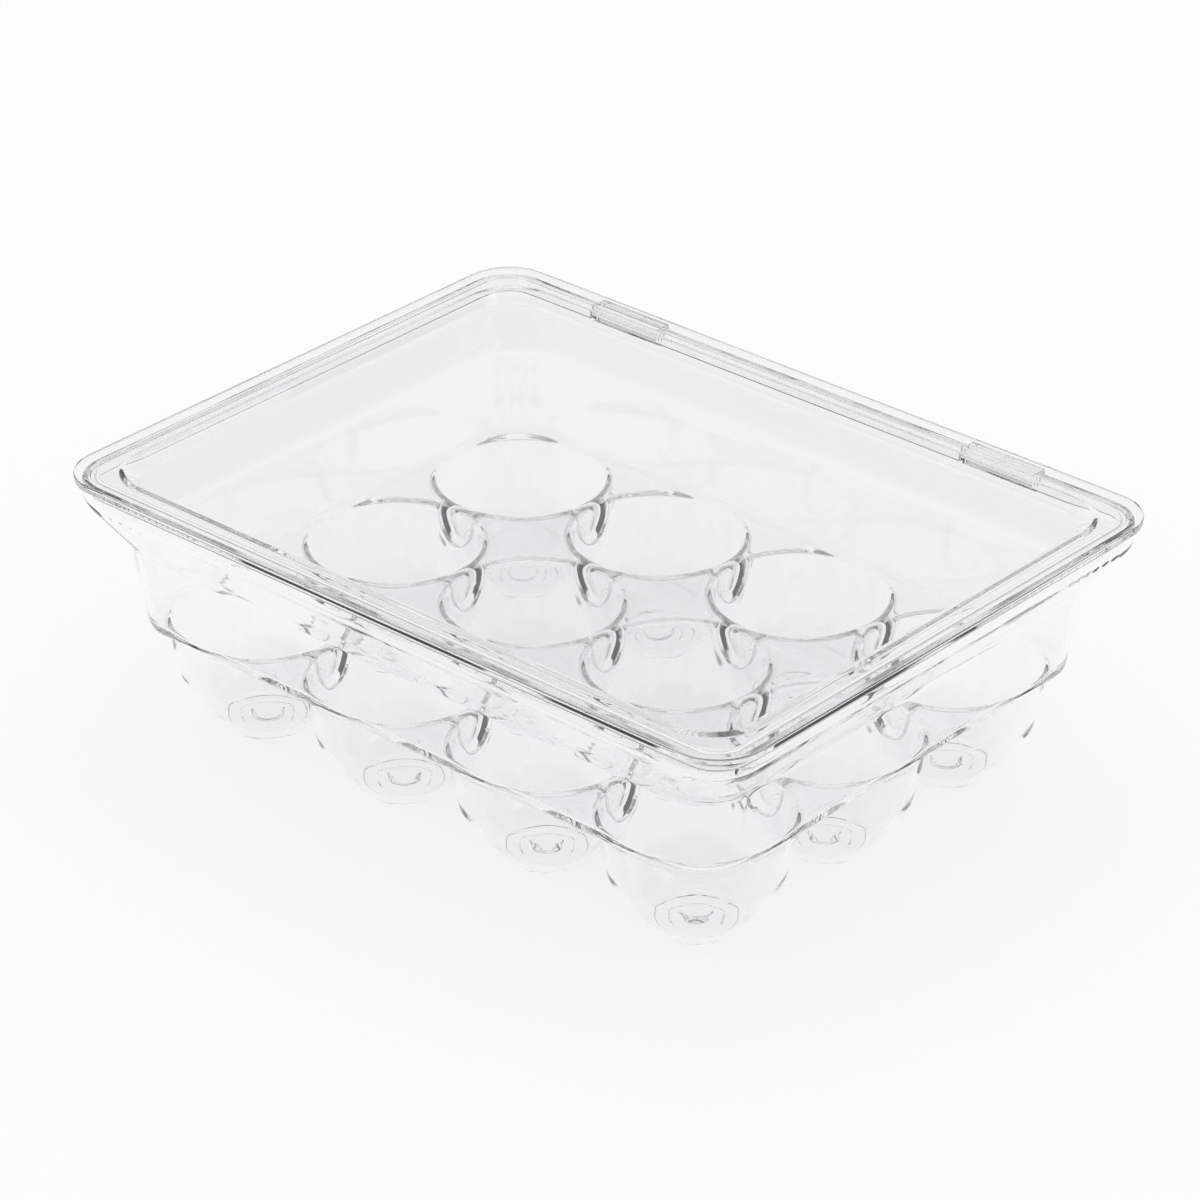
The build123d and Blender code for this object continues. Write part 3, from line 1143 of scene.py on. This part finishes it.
@dataclass
class Lid:
    """The lid's moulding: flange, sunk panel, hanging rib and two hinge clips."""

    floor_height: float = 34.0
    half: tuple[float, float] = (118.5, 90.1)
    flange_top: float = 43.9
    flange_bottom: float = 41.7
    flange_round: float = 0.45
    step_inset: float = 9.3
    step_under: float = 7.8
    panel_inset: float = 13.4
    panel_under: float = 12.4
    panel_top: float = 40.9
    panel_bottom: float = 38.7
    flat_from: float = 16.0
    top_rounds: tuple[float, float] = (0.7, 0.9)
    under_rounds: tuple[float, float] = (0.8, 1.0)
    rib_outer: float = 4.4
    rib_inner: float = 5.9
    rib_bottom: float = 38.2
    rib_fillet: float = 0.3
    rib_tip: float = 0.45
    rib_side: float = 7.0
    rib_break: tuple[float, float] = (54.5, 79.5)
    clip_span: tuple[float, float] = (54.9, 79.1)
    clip_centre: tuple[float, float] = (3.0, 40.0)
    clip_radius: float = 2.6
    clip_bore: float = 1.28
    clip_mouth: float = 0.95
    clip_flat: float = 0.35
    clip_start: float = 145.0
    corner_steps: int = 14
    top_corners: tuple[tuple[float, float], ...] = (
        (0.0, 14.0), (1.0, 13.0), (9.3, 15.3), (16.0, 8.6)
    )
    under_corners: tuple[tuple[float, float], ...] = (
        (0.0, 14.0), (1.0, 13.0), (4.4, 9.6), (5.9, 8.1), (7.8, 16.8), (16.0, 8.6)
    )

    def top_section(self) -> np.ndarray:
        """The section from the panel up to the flange and round its edge, as (inset, height)."""
        path = rounded_path(
            [
                (self.flat_from, self.panel_top, 0.0),
                (self.panel_inset, self.panel_top, self.top_rounds[0]),
                (self.step_inset, self.flange_top, self.top_rounds[1]),
                (0.0, self.flange_top, self.flange_round),
                (0.0, self.flange_bottom, self.flange_round),
                (self.flange_round, self.flange_bottom, 0.0),
            ]
        )
        return path[:-1]

    def under_section(self) -> np.ndarray:
        """The section from inside the rib to the panel's underside, as (inset, height)."""
        return rounded_path(
            [
                (self.rib_side, self.flange_bottom, 0.0),
                (self.step_under, self.flange_bottom, self.under_rounds[0]),
                (self.panel_under, self.panel_bottom, self.under_rounds[1]),
                (self.flat_from, self.panel_bottom, 0.0),
            ]
        )

    def rib_section(self) -> np.ndarray:
        """The hanging rib's section, as (inset, height)."""
        return rounded_path(
            [
                (self.flange_round, self.flange_bottom, 0.0),
                (self.rib_outer, self.flange_bottom, self.rib_fillet),
                (self.rib_outer, self.rib_bottom, self.rib_tip),
                (self.rib_inner, self.rib_bottom, self.rib_tip),
                (self.rib_inner, self.flange_bottom, self.rib_fillet),
                (self.rib_side, self.flange_bottom, 0.0),
            ],
            3,
        )

    def clip_section(self) -> np.ndarray:
        """A clip's section, a C that opens downwards, as (inset, height).

        Returns:
            Its points, a row each.
        """
        middle = np.array(self.clip_centre)

        def arc(radius: float, start: float, end: float, steps: int) -> np.ndarray:
            """Points of an arc round the rod, between two angles in degrees."""
            turns = np.radians(np.linspace(start, end, steps + 1))
            return middle + radius * np.stack((np.cos(turns), np.sin(turns)), axis=1)

        bore_end = math.degrees(math.acos(self.clip_mouth / self.clip_bore))
        tip = math.degrees(math.acos((self.clip_mouth + self.clip_flat) / self.clip_radius))
        lips = []
        for sign in (-1, 1):
            across = middle[0] + sign * self.clip_mouth
            foot = arc(self.clip_radius, -tip, -tip, 0)[0, 1]
            lips.append([(across + sign * 0.1, foot + 0.08), (across, foot + 0.3)])
        right = self.clip_centre[0] + self.clip_radius
        end = rounded_path(
            [
                (right, middle[1], 0.0),
                (right, self.flange_bottom, self.rib_inner + self.rib_fillet - right),
                (self.rib_side, self.flange_bottom, 0.0),
            ],
            3,
        )
        return np.concatenate(
            (
                [(self.flange_round, self.flange_bottom)],
                arc(self.clip_radius, self.clip_start, 180.0 + tip, 14),
                lips[0],
                arc(self.clip_bore, 180.0 + bore_end, -bore_end, 22),
                lips[1][::-1],
                arc(self.clip_radius, -tip, 0.0, 8)[:-1],
                end,
            )
        )

    def plain_section(self) -> np.ndarray:
        """The flange's bare underside, as (inset, height).

        Returns:
            Its points, a row each.
        """
        level = self.flange_bottom
        insets = (
            self.flange_round,
            self.rib_outer - self.rib_fillet,
            self.rib_inner + self.rib_fillet,
            self.rib_side,
        )
        return np.array([(inset, level) for inset in insets])

    def stretches(self) -> list[tuple[Hung, list[Place]]]:
        """The lid's outline from the middle of its back all the way round.

        Returns:
            What hangs under each stretch, and the places along it; each starts where the last ends.
        """
        near, far = self.rib_break
        first, last = self.clip_span

        def fixed(start: float, end: float, steps: int) -> list[Place]:
            """Places along the back, between two distances from the middle."""
            return [Place(Run.FIXED_X, float(x)) for x in np.linspace(start, end, steps + 1)]

        around = []
        quarter = np.linspace(0.0, math.pi / 2, self.corner_steps + 1)
        sweep = np.linspace(-1.0, 1.0, 7)[1:-1]
        around += [Place(Run.CORNER, float(turn), -1, 1) for turn in quarter[::-1]]
        around += [Place(Run.ALONG_Y, float(-share), -1) for share in sweep]
        around += [Place(Run.CORNER, float(turn), -1, -1) for turn in quarter]
        around += [Place(Run.ALONG_X, float(share), 1, -1) for share in sweep]
        around += [Place(Run.CORNER, float(turn), 1, -1) for turn in quarter[::-1]]
        around += [Place(Run.ALONG_Y, float(share), 1) for share in sweep]
        around += [Place(Run.CORNER, float(turn), 1, 1) for turn in quarter]
        return [
            (Hung.RIB, fixed(near, -near, 6)),
            (Hung.NOTHING, fixed(-near, -first, 1)),
            (Hung.CLIP, fixed(-first, -last, 2)),
            (Hung.NOTHING, fixed(-last, -far, 1)),
            (Hung.RIB, [Place(Run.FIXED_X, -far), *around, Place(Run.FIXED_X, far)]),
            (Hung.NOTHING, fixed(far, last, 1)),
            (Hung.CLIP, fixed(last, first, 2)),
            (Hung.NOTHING, fixed(first, near, 1)),
        ]

    def column(
        self, place: Place, section: np.ndarray, corners: tuple[tuple[float, float], ...]
    ) -> list[tuple[float, float, float]]:
        """One section's points at a place.

        Args:
            place: where on the outline.
            section: (inset, height) pairs.
            corners: (inset, corner radius) pairs, in between which radii are blended.

        Returns:
            The points.
        """
        insets, radii = np.array(corners).T
        points = []
        for inset, height in section:
            radius = float(np.interp(inset, insets, radii))
            x, y = place.plan(self.half[0] - inset, self.half[1] - inset, radius)
            points.append((x, y, height))
        return points

    def build(self, material: bpy.types.Material) -> bpy.types.Object:
        """Make the lid's skin.

        Args:
            material: its finish.

        Returns:
            The lid.
        """
        skin = SkinMesh()
        sections = {
            Hung.NOTHING: self.plain_section(),
            Hung.RIB: self.rib_section(),
            Hung.CLIP: self.clip_section(),
        }
        loop: list[Place] = []
        stretches = self.stretches()
        for index, (hung, places) in enumerate(stretches):
            loop.extend(places[:-1])
            section = sections[hung]
            columns = [self.column(place, section, self.under_corners) for place in places]
            grid = np.array(columns)
            skin.add_grid(grid)
            before = stretches[index - 1][0]
            for end, other in ((0, before), (-1, stretches[(index + 1) % len(stretches)][0])):
                if hung is Hung.NOTHING or other is not Hung.NOTHING:
                    continue
                outline = grid[end, 1:-1]
                if hung is Hung.CLIP:
                    middle = self.column(places[end], sections[Hung.NOTHING], self.under_corners)
                    outline = np.concatenate((grid[end, :-1], [middle[1]]))
                skin.add_cap(outline)
        top = np.array([self.column(place, self.top_section(), self.top_corners) for place in loop])
        under = np.array(
            [self.column(place, self.under_section(), self.under_corners) for place in loop]
        )
        skin.add_grid(top, closed=True)
        skin.add_grid(under, closed=True)
        skin.add_cap(top[:, 0])
        skin.add_cap(under[:, -1])
        lid = skin.build("lid_moulding", self.floor_height)
        lid.data.materials.append(material)
        return lid


# ---------------------------------------------------------------- finish
class Signal:
    """A value on its way between shader nodes, with arithmetic written as operators."""

    def __init__(self, tree: "ShaderTree", socket: bpy.types.NodeSocket) -> None:
        """Wrap an output socket.

        Args:
            tree: the tree that it belongs to.
            socket: the socket.
        """
        self.tree = tree
        self.socket = socket

    def _math(self, operation: str, first: object, second: object) -> "Signal":
        """Put a Math node between two values."""
        node = self.tree.add("ShaderNodeMath", {"operation": operation}, {0: first, 1: second})
        return Signal(self.tree, node.outputs[0])

    def __add__(self, other: object) -> "Signal":
        """This plus another value."""
        return self._math("ADD", self, other)

    def __radd__(self, other: object) -> "Signal":
        """Another value plus this."""
        return self._math("ADD", other, self)

    def __sub__(self, other: object) -> "Signal":
        """This less another value."""
        return self._math("SUBTRACT", self, other)

    def __rsub__(self, other: object) -> "Signal":
        """Another value less this."""
        return self._math("SUBTRACT", other, self)

    def __mul__(self, other: object) -> "Signal":
        """This times another value."""
        return self._math("MULTIPLY", self, other)

    def __rmul__(self, other: object) -> "Signal":
        """Another value times this."""
        return self._math("MULTIPLY", other, self)

    def larger(self, other: object) -> "Signal":
        """The larger of this and another value."""
        return self._math("MAXIMUM", self, other)

    def ramp(self, start: float, end: float, low: float = 0.0, high: float = 1.0) -> "Signal":
        """Map a range smoothly onto another and hold the ends.

        Args:
            start: input that gives low.
            end: input that gives high.
            low: output up to start.
            high: output from end on.

        Returns:
            The mapped value.
        """
        node = self.tree.add(
            "ShaderNodeMapRange",
            {"interpolation_type": "SMOOTHSTEP"},
            {"Value": self, "From Min": start, "From Max": end, "To Min": low, "To Max": high},
        )
        return Signal(self.tree, node.outputs[0])


class ShaderTree:
    """A shader node tree that is written as calls."""

    def __init__(self, tree: bpy.types.NodeTree) -> None:
        """Empty the tree.

        Args:
            tree: the material's or world's node tree.
        """
        self.tree = tree
        tree.nodes.clear()

    def add(
        self,
        kind: str,
        settings: dict[str, object] | None = None,
        inputs: dict[str | int, object] | None = None,
    ) -> bpy.types.Node:
        """Add a node.

        Args:
            kind: the node's type.
            settings: its properties, set first.
            inputs: its inputs by name or number, each a constant, a socket or a Signal.

        Returns:
            The node.
        """
        sources = {
            key: value.socket if isinstance(value, Signal) else value
            for key, value in (inputs or {}).items()
        }
        return add_node(self.tree, kind, settings, sources)

    def signal(self, node: bpy.types.Node, output: str | int = 0) -> Signal:
        """One output of a node as a Signal."""
        return Signal(self, node.outputs[output])


@dataclass(frozen=True)
class ClearPlastic:
    """Clear injection-moulded polystyrene: colour, gloss and the slight waves of its flow."""

    name: str = "clear_plastic"
    tint: tuple[float, float, float, float] = (0.985, 0.987, 0.99, 1.0)
    refraction: float = 1.53
    roughness: float = 0.012
    haze: float = 0.02
    haze_scale: float = 140.0
    haze_span: tuple[float, float] = (0.45, 0.75)
    wave_scale: float = 22.0
    wave_height: float = 0.03

    def material(self) -> bpy.types.Material:
        """Make the material.

        Returns:
            The material, which works from Object coordinates.
        """
        material = bpy.data.materials.new(self.name)
        material.use_nodes = True
        tree = ShaderTree(material.node_tree)
        place = tree.add("ShaderNodeTexCoord").outputs["Object"]
        broad = tree.add(
            "ShaderNodeTexNoise", None, {"Vector": place, "Scale": self.wave_scale, "Detail": 1.5}
        )
        fine = tree.add(
            "ShaderNodeTexNoise", None, {"Vector": place, "Scale": self.haze_scale, "Detail": 2.0}
        )
        rough = tree.signal(fine).ramp(*self.haze_span, self.roughness, self.roughness + self.haze)
        wave = tree.add(
            "ShaderNodeBump",
            None,
            {"Strength": self.wave_height, "Distance": 0.01, "Height": tree.signal(broad)},
        )
        surface = tree.add(
            "ShaderNodeBsdfPrincipled",
            None,
            {
                "Base Color": self.tint,
                "Transmission Weight": 1.0,
                "IOR": self.refraction,
                "Roughness": rough,
                "Normal": wave.outputs[0],
            },
        )
        tree.add("ShaderNodeOutputMaterial", None, {"Surface": surface.outputs[0]})
        material.diffuse_color = (0.85, 0.9, 0.93, 0.4)
        return material


# ---------------------------------------------------------------- studio
@dataclass(frozen=True)
class Softbox:
    """One area light of the studio."""

    name: str
    place: tuple[float, float, float]
    size: tuple[float, float]
    power: float
    aim: tuple[float, float, float] = (0.0, 0.0, 0.04)

    def build(self) -> bpy.types.Object:
        """Make the light, facing its aim.

        Returns:
            The light.
        """
        lamp = bpy.data.lights.new(self.name, "AREA")
        lamp.shape = "RECTANGLE"
        lamp.size, lamp.size_y = self.size
        lamp.energy = self.power
        thing = bpy.data.objects.new(self.name, lamp)
        bpy.context.scene.collection.objects.link(thing)
        thing.location = self.place
        towards = Vector(self.aim) - Vector(self.place)
        thing.rotation_euler = towards.to_track_quat("-Z", "Y").to_euler()
        return thing


@dataclass
class Studio:
    """A pale floor, a soft room round it, the lights and the camera."""

    floor_size: float = 4.0
    floor_gap: float = 0.0003
    floor_paint: tuple[float, float, float, float] = (0.9, 0.9, 0.9, 1.0)
    floor_white: float = 0.985
    floor_lit: float = 0.13
    white_tone: tuple[float, float, float, float] = (1.0, 0.996, 1.003, 1.0)
    light_bounces: int = 48
    backdrop: tuple[float, float, float] = (-0.66, 0.75, 0.0)
    backdrop_edge: tuple[float, float] = (0.4, 0.75)
    horizon_edge: tuple[float, float] = (0.1, 0.35)
    room_pale: float = 0.7
    room_dark: float = 0.1
    room_light: float = 0.9
    camera_place: tuple[float, float, float] = (0.7912, -0.8911, 0.7043)
    camera_aim: tuple[float, float, float] = (0.0, 0.0, 0.034)
    camera_lens: float = 151.5
    camera_shift: tuple[float, float] = (-0.00356, 0.02848)
    softboxes: tuple[Softbox, ...] = (
        Softbox("softbox_top", (-0.25, 0.35, 1.15), (0.9, 0.7), 2.0),
        Softbox("softbox_left", (-1.2, -0.5, 0.7), (0.5, 0.8), 0.8),
        Softbox("softbox_right", (1.1, 0.3, 0.8), (0.5, 0.6), 0.8),
    )

    @staticmethod
    def seen(tree: ShaderTree) -> Signal:
        """One for rays that show the background, straight or by way of a clear or shiny surface.

        Args:
            tree: the material's or world's tree.

        Returns:
            One or zero for each ray.
        """
        path = tree.add("ShaderNodeLightPath")
        camera = tree.signal(path, "Is Camera Ray")
        glossy = tree.signal(path, "Is Glossy Ray")
        through = tree.signal(path, "Is Transmission Ray")
        return camera.larger(glossy).larger(through)

    def build_floor(self) -> bpy.types.Object:
        """Make the floor: white where it is seen, with the object's soft shadow.

        Returns:
            The floor.
        """
        half = self.floor_size / 2
        mesh = bpy.data.meshes.new("studio_floor")
        low = -self.floor_gap
        corners = [(-half, -half, low), (half, -half, low), (half, half, low), (-half, half, low)]
        mesh.from_pydata(corners, [], [(0, 1, 2, 3)])
        material = bpy.data.materials.new("studio_floor")
        material.use_nodes = True
        tree = ShaderTree(material.node_tree)
        paint = tree.add("ShaderNodeBsdfDiffuse", None, {"Color": self.floor_paint})
        glow = tree.add(
            "ShaderNodeEmission", None, {"Color": self.white_tone, "Strength": self.floor_white}
        )
        shown = self.seen(tree) * (1.0 - self.floor_lit)
        mix = tree.add(
            "ShaderNodeMixShader", None, {0: shown, 1: paint.outputs[0], 2: glow.outputs[0]}
        )
        tree.add("ShaderNodeOutputMaterial", None, {"Surface": mix.outputs[0]})
        mesh.materials.append(material)
        floor = bpy.data.objects.new("studio_floor", mesh)
        bpy.context.scene.collection.objects.link(floor)
        return floor

    def build_room(self) -> None:
        """Make the room: white low down, a pale backdrop behind the object, and dark elsewhere."""
        world = bpy.data.worlds.new("studio_room")
        bpy.context.scene.world = world
        world.use_nodes = True
        tree = ShaderTree(world.node_tree)
        towards = tree.add("ShaderNodeTexCoord").outputs["Generated"]
        split = tree.add("ShaderNodeSeparateXYZ", None, {0: towards})
        facing = tree.add(
            "ShaderNodeVectorMath", {"operation": "DOT_PRODUCT"}, {0: towards, 1: self.backdrop}
        )
        behind = tree.signal(facing, "Value").ramp(*self.backdrop_edge, self.room_dark, self.room_pale)
        high = tree.signal(split, "Z").ramp(*self.horizon_edge)
        shade = behind * high + self.floor_white * (1.0 - high)
        seen = self.seen(tree)
        camera = tree.signal(tree.add("ShaderNodeLightPath"), "Is Camera Ray")
        level = seen * shade + (1.0 - seen) * self.room_light
        level = level.larger(camera * self.floor_white)
        glow = tree.add("ShaderNodeBackground", None, {"Strength": level})
        glow.inputs["Color"].default_value = self.white_tone
        tree.add("ShaderNodeOutputWorld", None, {"Surface": glow.outputs[0]})

    def build_camera(self) -> bpy.types.Object:
        """Make the camera and look through it.

        Returns:
            The camera.
        """
        lens = bpy.data.cameras.new("camera")
        lens.lens = self.camera_lens
        lens.sensor_width = 36.0
        lens.shift_x, lens.shift_y = self.camera_shift
        lens.clip_start = 0.01
        camera = bpy.data.objects.new("camera", lens)
        bpy.context.scene.collection.objects.link(camera)
        camera.location = self.camera_place
        towards = Vector(self.camera_aim) - Vector(self.camera_place)
        camera.rotation_euler = towards.to_track_quat("-Z", "Y").to_euler()
        bpy.context.scene.camera = camera
        return camera

    def build(self) -> None:
        """Make everything round the object."""
        self.build_floor()
        self.build_room()
        for softbox in self.softboxes:
            softbox.build()
        self.build_camera()
        scene = bpy.context.scene
        scene.view_settings.view_transform = "Standard"
        scene.cycles.max_bounces = self.light_bounces
        scene.cycles.glossy_bounces = self.light_bounces
        scene.cycles.transmission_bounces = self.light_bounces


# ---------------------------------------------------------------- the egg keeper
TRAY_NODES = (
    *(f"egg_cup_{row}{column}" for row in "abc" for column in (1, 2, 3, 4)),
    "tray_wall_front",
    "tray_wall_right",
    "tray_wall_back",
    "tray_wall_left",
)
LID_NODES = (
    "lid_rim", "lid_panel", "lid_rib_long", "lid_rib_back", "lid_clip_left", "lid_clip_right"
)
ROD_NODES = ("hinge_rod_left", "hinge_rod_right")


def main() -> None:
    """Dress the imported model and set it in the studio."""
    logging.basicConfig(level=logging.INFO, format="%(name)s: %(message)s")
    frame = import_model()
    plastic = ClearPlastic().material()
    tray = Tray().build(plastic)
    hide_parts(*TRAY_NODES)
    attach(tray, "tray")
    lid = Lid().build(plastic)
    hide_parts(*LID_NODES)
    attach(lid, "lid")
    rods = [frame["nodes"][name] for name in ROD_NODES]
    for rod in rods:
        rod.data.materials.clear()
        rod.data.materials.append(plastic)
    Studio().build()


if __name__ == "__main__":
    main()
